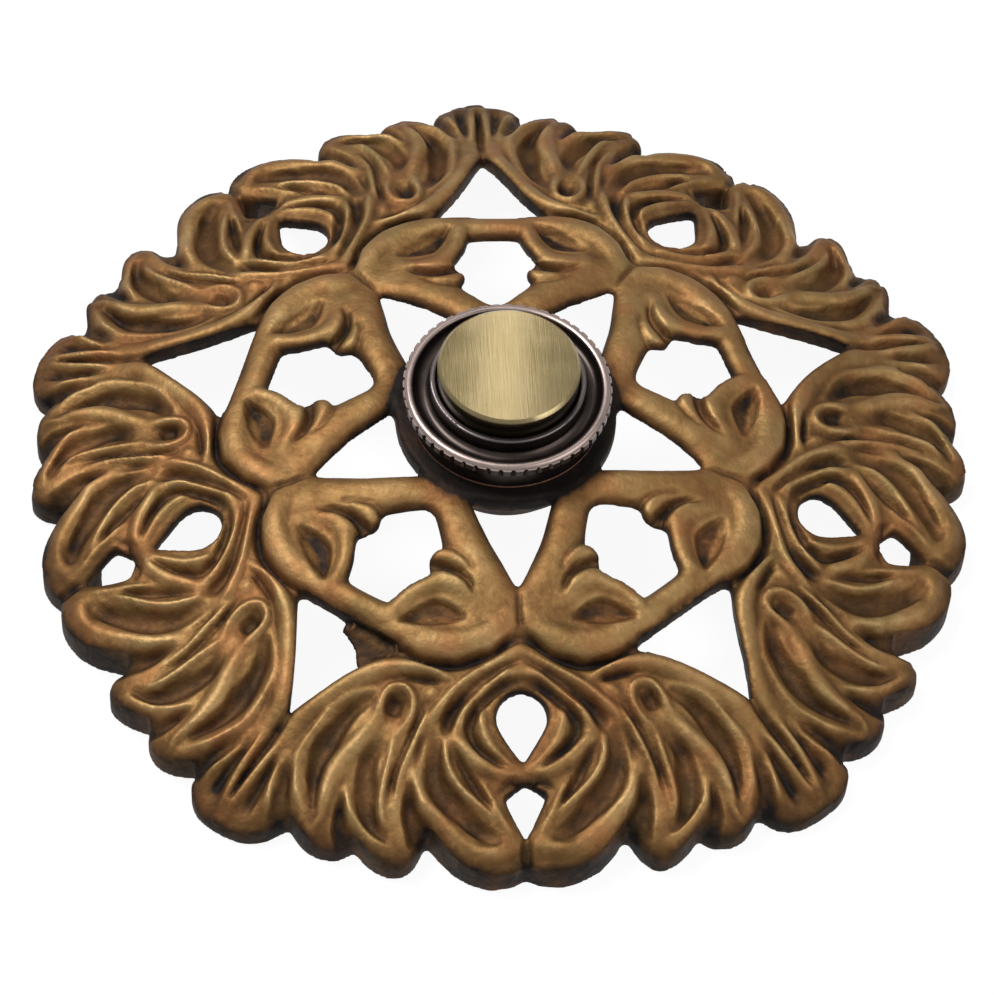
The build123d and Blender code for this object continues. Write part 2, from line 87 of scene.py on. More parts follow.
def polar(r, degrees):
    """A plan point at a radius, with the angle counted from the cluster's axis."""
    return (r * math.sin(math.radians(degrees)), -r * math.cos(math.radians(degrees)))


# Carving of half a cluster, its axis along -Y: points, half widths at start,
# middle and end, and height or depth
RIDGES = [
    # shield over the screw opening, and the crescents inside it
    ([(0, -28.6), (3.2, -30.8), (6.3, -32.6), (8.8, -34.7), (10.4, -36.3), (11.9, -38.4), (13.2, -40.9),
      (13.8, -43.4)], (0.8, 0.75, 0.5), 0.55),
    ([(0, -30.9), (1.8, -31.2), (3.4, -32), (5.1, -33.6), (6.3, -35.4), (7.1, -37.3)], (0.9, 0.85, 0.6),
      0.5),
    ([(7.3, -37.3), (6.1, -38.6), (4.3, -40.4), (2.3, -41.5), (0.5, -41.8)], (0.7, 0.95, 0.6), 0.5),
    ([(4.2, -34.2), (4.2, -36), (3.5, -38.2), (1.8, -40.4), (0.4, -41.3)], (0.45, 0.6, 0.5), 0.4),
    # first lobe
    ([(8.1, -37.6), (8, -40), (6.9, -42.4), (5, -44.5), (3.3, -46.1)], (0.45, 0.55, 0.4), 0.55),
    ([(4.4, -42.2), (3.7, -43.8), (2.8, -45.7), (1.6, -47.6)], (0.3, 0.45, 0.4), 0.35),
    ([(8.1, -45.5), (6.7, -47.2), (5, -48.5)], (0.25, 0.35, 0.25), 0.3),
    ([(11.7, -41), (10.8, -43.8), (9.3, -45.9), (7.4, -48.2), (5.2, -49.6), (3.1, -49.6), (1.6, -48.8)],
      (0.8, 1.25, 1.1), 0.6),
    # scroll eye
    ([(13.5, -37.2), (12.2, -36.1), (11.4, -34.7), (11.3, -33.2), (12.1, -32.3), (13.4, -32.3),
      (14.4, -33.4), (15.1, -34.9), (15.7, -36.2)], (0.45, 0.55, 0.7), 0.5),
    ([(8.8, -32.6), (9.8, -33.6)], (0.6, 0.8, 0.6), 0.35),
    # second lobe
    ([(13.5, -37), (14.3, -39.7), (15, -42.2), (15.3, -44.4), (15, -46.4)], (0.4, 0.5, 0.4), 0.5),
    ([(15.3, -35.6), (17.1, -37.4), (19, -39.1), (20.4, -41), (21.1, -42.8), (21.5, -44.6)],
      (0.9, 1.2, 0.6), 0.6),
    ([(18.9, -42), (18.4, -44.3), (17.1, -46.2), (15.7, -47.5), (14.2, -48.4)], (0.4, 0.7, 0.6), 0.5),
    # third lobe, and the smooth band along the gap
    ([(7.2, -31.7), (9.8, -30.6), (13.2, -30.1), (16.3, -30.6), (19.8, -32.1), (23, -34), (24.8, -36)],
      (0.5, 1.5, 1.6), 0.75),
    ([(15, -32.3), (17.3, -32.6), (19.6, -33.6), (21.7, -35.7), (23.2, -37.8), (23.8, -39.9),
      (23.7, -42.2), (23.1, -44.3), (22.3, -45.8)], (0.4, 0.5, 0.5), 0.5),
    ([(20.9, -43.4), (21.5, -44.7), (22.5, -45.9)], (0.4, 0.45, 0.4), 0.4),
    # narrow lobe on the axis of the gap
    ([gap(40, 3.7), gap(44, 3.4), gap(46.2, 4.2), gap(48.2, 5.8), gap(49.4, 8)], (0.8, 0.8, 0.6), 0.4),
    ([gap(44.8, 2.3), gap(48, 3.1), gap(50.8, 3.7)], (0.4, 0.6, 0.5), 0.45),
    ([gap(43.8, 1.1), gap(48, 0.9), gap(51, 0.6), gap(53.0, 0.2)], (0.4, 0.6, 0.7), 0.5),
]
FLUTES = [
    ([(0.6, -29.9), (2.6, -31.1), (4.4, -32.3), (6.7, -34.2), (7.8, -35.9), (8.2, -37)],
      (0.35, 1.0, 0.7), 0.85),
    ([(0, -32), (1.9, -32.5), (3.8, -33.9), (5.2, -35.6), (5.4, -37.1), (4.2, -39), (2.2, -40.7)],
      (0.6, 0.7, 0.45), 0.8),
    ([(7, -39), (5.8, -41.3), (4.9, -43), (3.8, -44.6)], (0.4, 0.65, 0.4), 0.7),
    ([(9.3, -37.6), (9.5, -40.4), (9, -42.4), (7.2, -44.9), (5.2, -46.9), (3.4, -48)], (0.9, 1.5, 0.8),
      0.95),
    ([(9.4, -34.6), (10.6, -37.4), (11.3, -40)], (0.3, 0.5, 0.4), 0.45),
    ([(12.1, -42.2), (12.1, -44.6), (11.5, -46.6), (11.2, -48)], (0.5, 1.3, 1.6), 1.2),
    ([(10.3, -34.2), (11.5, -36.7), (12.8, -39.2), (13.8, -41.4), (14.2, -43.6)], (0.4, 0.45, 0.5), 0.65),
    ([(12.8, -33.0), (13.2, -33.9), (13.6, -35.2)], (1.0, 1.1, 0.9), 0.95),
    ([(15.2, -38), (16.5, -39.7), (16.8, -42.2), (16.5, -44.7), (15, -46.9)], (0.7, 1.4, 0.7), 1.0),
    ([(15.8, -33.3), (17.8, -34.3), (19.6, -36.2), (21.2, -38.4), (21.9, -40.6), (22.1, -43.2)],
      (0.7, 1.35, 0.5), 1.1),
    ([(19.4, -42.6), (19.5, -45.4), (18.9, -47)], (0.35, 0.9, 1.2), 0.95),
    ([(8.2, -31.8), (9.8, -31.4), (12.2, -31)], (0.4, 0.55, 0.3), 0.7),
    ([(24.8, -38.4), (25.3, -41.2), (25.2, -44)], (0.5, 0.9, 1.1), 0.8),
    ([gap(46, 1.6), gap(49, 2.0), gap(52, 2.1)], (0.4, 0.6, 0.7), 0.75),
    ([gap(46, 3.6), gap(49, 4.6), gap(51.5, 5.3)], (0.4, 0.8, 1.1), 0.85),
    ([gap(41.8, 0), gap(46, 0), gap(51.4, 0)], (0.6, 0.5, 0.3), 0.7),
    # dark line below the round shoulder of the lattice
    ([(0, -27.5), (1.6, -28), (3.5, -29.1), (6.5, -30.1), (9.5, -29.7), (12.4, -28.5)], (0.5, 0.9, 0.5),
      0.9),
    ([(0, -42.2), (1.6, -42.5), (3, -43.3)], (0.6, 0.5, 0.3), 0.5),
    ([(0, -48), (0.15, -50), (0, -52)], (0.5, 0.6, 0.8), 0.7),
]
SCROLLS = [
    ([(6.4, -12.0), (5.6, -15.5), (4.3, -19), (2.7, -22.4)], (2.1, 2.1, 1.9), 0.35),
    ([(1.2, -25.6), (3.2, -27.3), (6, -28.2), (9, -27.8), (12, -26.3), (14.6, -24.6)], (1.2, 1.5, 1.5),
      0.45),
    ([(4.4, -23.6), (6, -21.9), (8.4, -21.1), (11.2, -22.0), (12.9, -24.0), (12.4, -25.2)],
      (1.2, 1.5, 0.8), 0.6),
    ([(4.5, -20.1), (6.9, -18.2), (9.1, -17.7)], (0.7, 1.1, 1.0), 0.45),
    ([gap(27.6, 5.6), gap(27.9, 3), gap(27.9, 0), gap(27.9, -1)], (1.5, 1.5, 1.5), 0.4),
]
HOLLOWS = [
    ([(5.9, -25.3), (8.8, -24.3), (12.1, -25.2)], (0.6, 1.15, 0.5), 1.6),
    ([(6.4, -25.8), (9, -25.5), (11.6, -25.6)], (0.4, 0.7, 0.4), 0.7),
    ([(9.4, -19.1), (7.0, -20.0), (5.5, -21.2), (4.6, -22.8)], (0.7, 0.6, 0.4), 0.85),
    ([(8.6, -16.6), (6.6, -17.6), (5.2, -19.2), (4.6, -20.6)], (0.4, 0.4, 0.3), 0.35),
    ([(0, -22.4), (0, -24.6), (0, -27)], (0.3, 0.35, 0.5), 0.55),
]
SHOULDER = [(0, -26.2), (2.9, -28.9), (6.5, -29.9), (9.8, -29.4), gap(29.8, 6.6), gap(29.8, 0)]

# Cut edges of half a cluster: the rim and the openings, round where the blank
# has straight cuts
RIM = [
    polar(50.4, -0.5), polar(50.4, 0.3), polar(51.2, 1.8), polar(51.6, 4.2), polar(51.1, 7),
    polar(50.1, 9), polar(48.6, 11), polar(47.4, 12.3), polar(47.4, 13), polar(48.9, 13.4),
    polar(50.4, 14), polar(51.4, 15.2), polar(51.5, 16.6), polar(51.1, 18.2), polar(50.3, 19.8),
    polar(49.6, 21.1), polar(50.3, 21.7), polar(51.1, 22.5), polar(51.7, 24.3), polar(51.6, 26.2),
    polar(50.9, 27.9), polar(50.0, 29.3), polar(51.1, 30), polar(52.5, 30.8), polar(53.4, 32.1),
    polar(53.85, 33.4), polar(54.0, 34.8), polar(54.0, 36),
]
OPENINGS = [
    # beyond each bar
    [gap(41.6, -0.3), gap(41.6, 0), gap(40, 0.95), gap(38.3, 1.8), gap(35.0, 3.5), gap(33, 4.7),
     gap(30.9, 6.1), gap(30.1, 6.5), gap(29.7, 6.1), gap(29.7, 3), gap(29.7, -0.5)],
    # heart
    [gap(26.2, -0.5), gap(26.2, 2.3), gap(25.8, 2.8), gap(25, 3.0), gap(23.9, 3.4), gap(22.7, 4.15),
     gap(21.8, 4.6), gap(21.3, 4.35), gap(20.6, 3.75), gap(19.9, 3.4), gap(19.2, 3.45), gap(18.4, 3.85),
     gap(17.8, 3.55), gap(16.3, 2.05), gap(15.3, 0.9), gap(15, 0), gap(15, -0.5)],
    # beside the push
    [(4.4, -11.6), (2.7, -16.9), (0.6, -21.1), (0, -21.9), (-0.4, -21.9)],
    # screw opening
    [(-0.5, -32.8), (0.5, -32.8), (1.3, -33.1), (2.2, -33.9), (2.6, -34.9), (2.6, -35.9), (2.25, -36.8),
     (1.3, -38.4), (0.5, -39.6), (0, -40.3), (-0.4, -40.3)],
    # kite
    [(-0.4, -42.4), (0, -42.4), (0.4, -42.5), (1.7, -43.3), (2.1, -43.7), (1.8, -44.6), (0.4, -47.1),
     (0, -47.7), (-0.3, -47.7)],
]


def traced(points, steps=7):
    """A smooth line through the points."""
    p = np.array(points, float)
    p = np.vstack([2 * p[0] - p[1], p, 2 * p[-1] - p[-2]])
    t = np.linspace(0, 1, steps, endpoint=False)[:, None]
    spans = []
    for a, b, c, d in zip(p, p[1:], p[2:], p[3:]):
        spans.append(b + 0.5 * t * (c - a + t * (2 * a - 5 * b + 4 * c - d + t * (3 * (b - c) + d - a))))
    return np.vstack(spans + [p[-2:-1]])


def rounded(points):
    """A line with its corners cut short three times over."""
    line = np.array(points, float)
    for corner in (0.6, 0.3, 0.15):
        step = np.diff(line, axis=0)
        length = np.hypot(*step.T)[:, None]
        cut = np.minimum(length / 4, corner) / length * step
        pairs = np.stack([line[:-1] + cut, line[1:] - cut], 1).reshape(-1, 2)
        line = np.vstack([line[:1], pairs[1:-1], line[-1:]])
    return line


def along_line(plan, line):
    """Distance of plan points from a line, how far along it they lie, and on which side."""
    best = np.full(len(plan), 1e9)
    along = np.zeros(len(plan))
    side = np.ones(len(plan))
    for i, (a, b) in enumerate(zip(line, line[1:])):
        d = b - a
        q = plan - a
        t = np.clip((q @ d) / max(d @ d, 1e-12), 0, 1)
        away = np.hypot(q[:, 0] - t * d[0], q[:, 1] - t * d[1])
        closer = away < best
        best[closer] = away[closer]
        along[closer] = ((i + t) / (len(line) - 1))[closer]
        side[closer] = np.sign(d[0] * q[:, 1] - d[1] * q[:, 0])[closer]
    return best, along, side


def tooled(plan, strokes, fullness):
    """The tallest stroke over each plan point."""
    found = np.zeros(len(plan))
    for points, widths, tall in strokes:
        line = traced(points)
        reach = max(widths)
        near = np.flatnonzero(np.all((plan > line.min(0) - reach) & (plan < line.max(0) + reach), axis=1))
        best, along, _ = along_line(plan[near], line)
        across = np.clip(best / np.interp(along, (0, 0.5, 1), widths), 0, 1)
        ends = np.minimum(1, 0.3 + 3.5 * np.minimum(along, 1 - along))
        found[near] = np.maximum(found[near], tall * ends * (1 - across * across) ** fullness)
    return found


def folded(x, y):
    """Plan points turned and mirrored into the half cluster that the strokes describe."""
    r = np.hypot(x, y)
    turn = np.arctan2(x, -y)
    local = np.abs(turn - np.round(turn / (2 * half_sector)) * 2 * half_sector)
    return r, local, np.stack([r * np.sin(local), -r * np.cos(local)], 1)


def softened(field, reach):
    """A map with each value averaged with what lies within reach of it."""
    cells = max(1, round(reach / CELL))
    weights = np.hanning(2 * cells + 3)[1:-1]
    weights /= weights.sum()
    for axis in (0, 1):
        padded = np.pad(field, [(cells, cells) if a == axis else (0, 0) for a in (0, 1)], mode="edge")
        count = np.arange(field.shape[axis])
        field = sum(w * np.take(padded, count + i, axis) for i, w in enumerate(weights))
    return field


# Maps of half a cluster, with what lies just past its two axes
map_x = np.arange(-2.5, 36, CELL)
map_y = np.arange(-57, -9, CELL)
across, up = np.meshgrid(map_x, map_y)
r, local, plan = folded(across.ravel(), up.ravel())
border = np.array(SHOULDER)
inside = np.interp(local, np.arctan2(border[:, 0], -border[:, 1]), np.hypot(*border.T)) - r
lattice = np.clip(inside / 0.6 + 0.5, 0, 1)
lattice = lattice * lattice * (3 - 2 * lattice)
leaf = RIDGE_SCALE * tooled(plan, RIDGES, 1.0) - FLUTE_SCALE * tooled(plan, FLUTES, 0.8)
leaf = leaf + np.interp(r, (42, 48), (-0.05, 0.3))
scroll = SCROLL_SCALE * tooled(plan, SCROLLS, 0.9) - tooled(plan, HOLLOWS, 0.8) - 0.2
carved = leaf * (1 - lattice) + (scroll + LATTICE_RISE) * lattice
carved = softened(carved.reshape(across.shape), SOFTENING)
distance, _, side = along_line(plan, rounded(RIM))
metal = distance * side
for opening in OPENINGS:
    distance, _, side = along_line(plan, rounded(opening))
    metal = np.where(distance < np.abs(metal), distance * side, metal)
metal = metal.reshape(across.shape)


def sampled(field, x, y):
    """A map's values at plan points anywhere on the rosette."""
    plan = folded(x, y)[2]
    u = np.clip((plan[:, 0] - map_x[0]) / CELL, 0, len(map_x) - 1.001)
    v = np.clip((plan[:, 1] - map_y[0]) / CELL, 0, len(map_y) - 1.001)
    i, j = u.astype(int), v.astype(int)
    u, v = u - i, v - j
    return ((field[j, i] * (1 - u) + field[j, i + 1] * u) * (1 - v)
            + (field[j + 1, i] * (1 - u) + field[j + 1, i + 1] * u) * v)


def wandered(x, y):
    """Plan points shifted a little, so that no two clusters are quite alike."""
    return (x + 0.18 * np.sin(0.21 * x + 0.13 * y + 1.0) + 0.1 * np.sin(0.47 * y - 0.3 * x),
            y + 0.18 * np.sin(0.19 * y - 0.16 * x + 2.1) + 0.1 * np.sin(0.43 * x + 0.2 * y))


def mesh_values(mesh, name):
    values = np.empty(len(mesh.vertices) * 3, np.float32)
    mesh.vertices.foreach_get(name, values)
    return values.reshape(-1, 3).astype(float)


def applied(piece, kind, **settings):
    """A modifier applied to a piece's mesh at once."""
    modifier = piece.modifiers.new(kind.lower(), kind)
    for key, value in settings.items():
        setattr(modifier, key, value)
    bpy.context.view_layer.update()
    made = bpy.data.meshes.new_from_object(piece.evaluated_get(bpy.context.evaluated_depsgraph_get()))
    piece.modifiers.clear()
    piece.data = made


def parts_of(piece):
    """What the carving needs of each point: place, radius, back, depth in the metal, face and walls."""
    points = mesh_values(piece.data, "co") / mm
    normals = mesh_values(piece.data, "normal")
    r = np.hypot(points[:, 0], points[:, 1])
    back = np.where(r < RIM_R, leaf_surface(r, -WALL), 0.0)
    back = np.where(r < LATTICE_BACK_R, leaf_surface(r, LATTICE_RISE - LATTICE_WALL), back)
    depth = sampled(metal, *wandered(points[:, 0], points[:, 1]))
    wall = (np.abs(depth) < CUT_REACH) & (np.abs(normals[:, 2]) < STEEP) & (r > HUB_R + 0.3)
    return points, normals, r, back, depth, wall


def face_height(points, r, depth):
    """Height of the carved face, rolled over towards the cut edges."""
    relief = sampled(carved, *wandered(points[:, 0], points[:, 1]))
    fall = np.clip(1 - np.maximum(depth, 0) / np.interp(r, (28, 30, 43, 46), (1.7, 0.9, 0.9, 2.2)), 0, 1)
    roll = np.interp(r, (28, 30, 43, 46), (1.0, 0.5, 0.5, 1.3)) * (1 - np.sqrt(1 - fall * fall))
    hub = np.clip((HUB_R + 0.5 - r) / 0.7, 0, 1)
    return (leaf_surface(r) + relief - roll) * (1 - hub) + HUB_TOP * hub


def sculpted(piece):
    """The carved face laid over the blank: walls round in plan, the face at the relief's height."""
    points, normals, r, back, depth, wall = parts_of(piece)
    nudge = 0.15
    slope_x = (sampled(metal, *wandered(points[:, 0] + nudge, points[:, 1])) - depth) / nudge
    slope_y = (sampled(metal, *wandered(points[:, 0], points[:, 1] + nudge)) - depth) / nudge
    spilled = (depth < 0) & (depth > -CUT_REACH) & (r > HUB_R + 0.3)
    shift = np.where(wall | spilled, depth, 0)
    points[:, 0] -= shift * slope_x
    points[:, 1] -= shift * slope_y
    face = face_height(points, r, depth)
    blank = leaf_surface(r) + np.where(r < LATTICE_R, LATTICE_RISE, 0.0)
    share = np.clip((points[:, 2] - back) / np.maximum(blank - back, 0.5), 0, 1)
    target = np.where(wall, back + share * (face - back), face)
    top = (r > HUB_R + 0.05) & (depth > -CUT_REACH)
    top = top & (wall | (normals[:, 2] > -0.2)) & (points[:, 2] > back + 0.3)
    points[top, 2] = np.maximum(target, back + 0.55)[top]
    piece.data.vertices.foreach_set("co", (points * mm).astype(np.float32).ravel())
    piece.data.update()


def merged_copy(node, name):
    """A copy of a CAD node as an object of its own, with its loose corners merged."""
    shape = bmesh.new()
    shape.from_mesh(nodes[node].data)
    bmesh.ops.remove_doubles(shape, verts=shape.verts, dist=0.002 * mm)
    mesh = bpy.data.meshes.new(name)
    shape.to_mesh(mesh)
    shape.free()
    copy = bpy.data.objects.new(name, mesh)
    bpy.context.scene.collection.objects.link(copy)
    return copy


def smooth(piece):
    """Shade a piece's faces smoothly."""
    for polygon in piece.data.polygons:
        polygon.use_smooth = True


rosette = merged_copy("filigree_plate", "cast_rosette")
for voxel in (COARSE_VOXEL, FINE_VOXEL):
    applied(rosette, "REMESH", mode="VOXEL", voxel_size=voxel * mm, adaptivity=0.0)
    sculpted(rosette)
applied(rosette, "SMOOTH", factor=0.5, iterations=3)

# Patina and painted shade of the face, kept with the points: how deep each lies below what is round it
# gives the brown patina of the hollows; painted shade darkens the cut walls, the back and faces that lean
# away from up, a painted shadow of the ring lies on and near the hub, and the face is also made darker
# near the cut edges and towards the rim
valley = 0.5 + 0.55 * (softened(carved, 1.0) - carved) + 0.18 * (softened(carved, 3.0) - carved)
valley = valley - 0.12 * carved
points, normals, r, _, depth, _ = parts_of(rosette)
hollow = sampled(valley, *wandered(points[:, 0], points[:, 1]))
at_rim = np.clip((r - 45) / 2, 0, 1)
sunk = face_height(points, r, depth) - points[:, 2]
# painted shade: the cut walls and the back, below the carved face, darker towards their foot, more gently
# at the rim
below = np.clip((sunk - 0.25) / (0.5 + 1.6 * at_rim), 0, 1)
# the face made darker near the cut edges and towards the outer rim
edge_dark = np.clip(1 - depth / 0.5, 0, 1) * 0.25
outer = np.clip((r - 47) / 4, 0, 1)
# painted shade on faces that lean away from up
steep = np.clip((0.8 - normals[:, 2]) / 0.5, 0, 1) * np.clip(1.6 - depth, 0, 1)
steep = steep * (1 - 0.75 * at_rim)
# painted shadow of the ring, deepening towards the hub
near_hub_shadow = np.clip((HUB_R + 2.4 - r) / 2.4, 0, 1)
hollow = np.maximum(hollow + edge_dark + 0.2 * outer + 0.35 * near_hub_shadow, 0.95 * below)
# painted shade: leaning and downward faces taken to the dark of the hollows
hollow = hollow + (0.95 - hollow) * np.maximum(steep, np.clip(0.5 - 2 * normals[:, 2], 0, 1))
# painted shadow under the ring: the hub's top near black, its wall dark
hub_painted_shadow = np.where(points[:, 2] > HUB_TOP - 0.9, 1.5, 0.93)
hollow = hollow + (hub_painted_shadow - hollow) * np.clip((HUB_R + 0.9 - r) / 0.8, 0, 1)
# hollow: patina of the hollows together with painted shade and painted shadow
attribute = rosette.data.attributes.new("hollow", "FLOAT", "POINT")
attribute.data.foreach_set("value", np.clip(hollow, 0, 1.5).astype(np.float32))
triangles = sum(len(polygon.vertices) - 2 for polygon in rosette.data.polygons)
applied(rosette, "DECIMATE", decimate_type="COLLAPSE", ratio=min(1.0, MOST_TRIANGLES / triangles))
smooth(rosette)


class Value:
    """A socket's value, with arithmetic that adds Math nodes."""

    def __init__(self, finish, socket):
        self.finish = finish
        self.socket = socket

    def maths(self, operation, *values):
        return self.finish.node("ShaderNodeMath", {"operation": operation}, dict(enumerate(values)))

    def __add__(self, other):
        return self.maths("ADD", self, other)

    __radd__ = __add__

    def __sub__(self, other):
        return self.maths("SUBTRACT", self, other)

    def __rsub__(self, other):
        return self.maths("SUBTRACT", other, self)

    def __mul__(self, other):
        return self.maths("MULTIPLY", self, other)

    __rmul__ = __mul__

    def __truediv__(self, other):
        return self.maths("DIVIDE", self, other)

    def __pow__(self, other):
        return self.maths("POWER", self, other)

    def held(self, low=0.0, high=1.0):
        """The value kept between low and high."""
        return self.maths("MINIMUM", self.maths("MAXIMUM", self, low), high)


# Sockets of the Mix node when it mixes colours
MIX_FACTOR, MIX_FIRST, MIX_SECOND = 0, 6, 7
MIX_RESULT = 2


class Finish:
    """A material in the making."""

    def __init__(self, name, **constants):
        self.material = bpy.data.materials.new(name)
        self.material.use_nodes = True
        self.tree = self.material.node_tree
        self.shader = self.tree.nodes["Principled BSDF"]
        for socket, value in constants.items():
            self.shader.inputs[socket.replace("_", " ")].default_value = value

    def node(self, kind, settings=None, inputs=None, output=0):
        made = self.tree.nodes.new(kind)
        for key, value in (settings or {}).items():
            if key == "stops":
                ramp = made.color_ramp
                while len(ramp.elements) < len(value):
                    ramp.elements.new(0.5)
                for element, (place, colour) in zip(ramp.elements, value):
                    element.position = place
                    element.color = (*colour, 1)
            else:
                setattr(made, key, value)
        for key, value in (inputs or {}).items():
            if isinstance(value, Value):
                self.tree.links.new(value.socket, made.inputs[key])
            else:
                made.inputs[key].default_value = value
        return Value(self, made.outputs[output])

    def place(self):
        return self.node("ShaderNodeTexCoord", output="Object")

    def noise(self, scale, detail, place=None):
        """Noise with about scale grains to the metre."""
        return self.node("ShaderNodeTexNoise", {}, {
            "Vector": place or self.place(), "Scale": scale, "Detail": detail}, "Fac")

    def blend(self, factor, first, second):
        """Two colours mixed."""
        first, second = (c if isinstance(c, Value) else (*c, 1) for c in (first, second))
        sockets = {MIX_FACTOR: factor, MIX_FIRST: first, MIX_SECOND: second}
        return self.node("ShaderNodeMix", {"data_type": "RGBA"}, sockets, MIX_RESULT)

    def ramp(self, value, *stops):
        return self.node("ShaderNodeValToRGB", {"stops": stops}, {"Fac": value}, "Color")

    def feed(self, **sockets):
        for key, value in sockets.items():
            self.tree.links.new(value.socket, self.shader.inputs[key.replace("_", " ")])

    def bump(self, height, strength, distance):
        settings = {"Strength": strength, "Distance": distance, "Height": height}
        self.feed(Normal=self.node("ShaderNodeBump", {}, settings, "Normal"))


def cast_brass_finish(name):
    """Antique cast brass, browned in the hollows, and darkened further where the attribute carries
    painted shade and painted shadow.
    """
    brass = Finish(name)
    patches = brass.noise(90, 4)
    grain = brass.noise(1400, 5)
    # patina of the hollows and painted shade, read from the attribute, with random blotches
    depth = brass.node("ShaderNodeAttribute", {"attribute_name": "hollow"}, output="Fac")
    depth = depth + 0.6 * (patches - 0.5) + 0.45 * (brass.noise(420, 3) - 0.5)
    depth = (depth + 0.16 * (grain - 0.5)).held()
    # the ramp's darkest stops give the painted shade of the walls and the near-black painted shadow on
    # the hub
    colour = brass.ramp(
        depth,
        (0.12, (0.31, 0.20, 0.086)),
        (0.38, (0.215, 0.120, 0.044)),
        (0.55, (0.135, 0.067, 0.023)),
        (0.72, (0.085, 0.041, 0.015)),
        (0.90, (0.036, 0.019, 0.009)),
        (1.0, (0.012, 0.009, 0.008)),
    )
    reddish = ((brass.noise(160, 3) - 0.49) * 6).held()
    colour = brass.blend(0.6 * reddish * (1.1 - depth), colour, (0.25, 0.095, 0.035))
    aside = brass.node("ShaderNodeMapping", {}, {"Vector": brass.place(), "Location": (0.3, 0.1, 0)})
    olive = ((brass.noise(210, 3, aside) - 0.54) * 6).held()
    colour = brass.blend(0.4 * olive * (1.1 - depth), colour, (0.11, 0.09, 0.028))
    brass.feed(
        Base_Color=colour,
        Roughness=0.56 + 0.12 * depth + 0.12 * (grain - 0.5),
        Metallic=(0.97 - 0.12 * depth).held(),
    )
    brass.bump(grain + 0.8 * brass.noise(500, 3), 0.35, 0.0003)
    return brass.material


rosette.data.materials.clear()
rosette.data.materials.append(cast_brass_finish("cast_brass"))
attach(rosette, "rosette")
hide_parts("filigree_plate")


def dress(node, material):
    """A finish put on a CAD node."""
    piece = nodes[node]
    piece.data.materials.clear()
    piece.data.materials.append(material)


# The bezel ring: turned brass, oil-rubbed almost black, with a knurled edge that a thumb turns it by. A
# painted highlight of pinkish bronze lies on its lip.
def turned_finish(name, dark, light, metallic, roughness, edge_highlight=None):
    """Turned metal: fine rings round Z, blotched a little, with a painted highlight past a radius and
    height.
    """
    metal = Finish(name)
    place = metal.place()
    apart = metal.node("ShaderNodeSeparateXYZ", {}, {"Vector": place}, "X")
    across = Value(metal, apart.socket.node.outputs["Y"])
    high = Value(metal, apart.socket.node.outputs["Z"])
    radius = (apart * apart + across * across) ** 0.5
    along_turning = metal.node("ShaderNodeCombineXYZ", {}, {"X": radius, "Y": high})
    rings = metal.node("ShaderNodeTexNoise", {"noise_dimensions": "2D"}, {
        "Vector": along_turning, "Scale": 5200, "Detail": 2.0}, "Fac")
    blotch = metal.noise(260, 3)
    shade = (0.5 * rings + blotch - 0.25).held()
    colour = metal.ramp(shade, (0.25, dark), (0.75, light))
    if edge_highlight:
        inner, low, bright = edge_highlight
        # painted highlight: a paler colour past a radius and above a height
        highlight_reach = ((radius - inner * mm) / (0.25 * mm)).held() * ((high - low * mm) / (0.25 * mm)).held()
        colour = metal.blend(highlight_reach * (0.6 + 0.7 * blotch).held(), colour, bright)
    metal.feed(
        Base_Color=colour,
        Metallic=(metallic + 0.1 * (blotch - 0.5)).held(),
        Roughness=(roughness + 0.3 * (blotch - 0.5) + 0.1 * (rings - 0.5)).held(0.05, 1),
    )
    metal.bump(rings, 0.15, 0.00005)
    return metal.material


# The ring's lip and the collar's edge carry a painted highlight.
bronze = turned_finish(
    "oil_rubbed_bronze", (0.022, 0.016, 0.014), (0.060, 0.045, 0.040), 0.9, 0.34,
    (10.15, 18.5, (0.33, 0.255, 0.23)))
collar_bronze = turned_finish(
    "collar_bronze", (0.022, 0.016, 0.013), (0.06, 0.046, 0.042), 0.9, 0.3,
    (7.9, 19.7, (0.13, 0.11, 0.11)))
dress("bezel_ring", bronze)
dress("guide_collar", collar_bronze)

# The button: a drawn brass cap, brushed one way across its face and clouded with age, paler than the
# casting. Its side, below the face, is painted dark as shade.
cap = Finish("brushed_button_brass")
brush_place = cap.node("ShaderNodeMapping", {}, {
    "Vector": cap.place(), "Scale": (1.0, 0.02, 0.02), "Rotation": (0, 0, 0.05)})
strokes = cap.noise(9000, 3, brush_place)
cloud = cap.noise(220, 3)
height = cap.node("ShaderNodeSeparateXYZ", {}, {"Vector": cap.place()}, "Z")
face = cap.ramp(
    (0.6 * strokes + 0.5 * cloud - 0.05).held(),
    (0.25, (0.22, 0.168, 0.076)),
    (0.8, (0.37, 0.295, 0.16)),
)
cap.feed(
    # painted shade: the cap near black below the height of its face
    Base_Color=cap.blend(((height - 21.4 * mm) / (1.0 * mm)).held() ** 2, (0.03, 0.022, 0.01), face),
    Metallic=(0.95 - 0.1 * cloud).held(),
    Roughness=(0.15 + 0.1 * cloud + 0.06 * (strokes - 0.5)).held(),
)
cap.bump(strokes, 0.12, 0.00004)
dress("button_cap", cap.material)

# Barrel, washer and lock nut behind the hub: turned brass in the ring's near-black bronze.
for node in ("push_body", "hub_washer", "lock_nut"):
    dress(node, bronze)

# Brass of the turned pieces inside: plunger and terminals.
turned = turned_finish("turned_brass", (0.42, 0.30, 0.11), (0.62, 0.47, 0.22), 0.95, 0.3)
for node in ("plunger", "terminal_screw_left", "terminal_screw_right",
             "terminal_washer_left", "terminal_washer_right"):
    dress(node, turned)

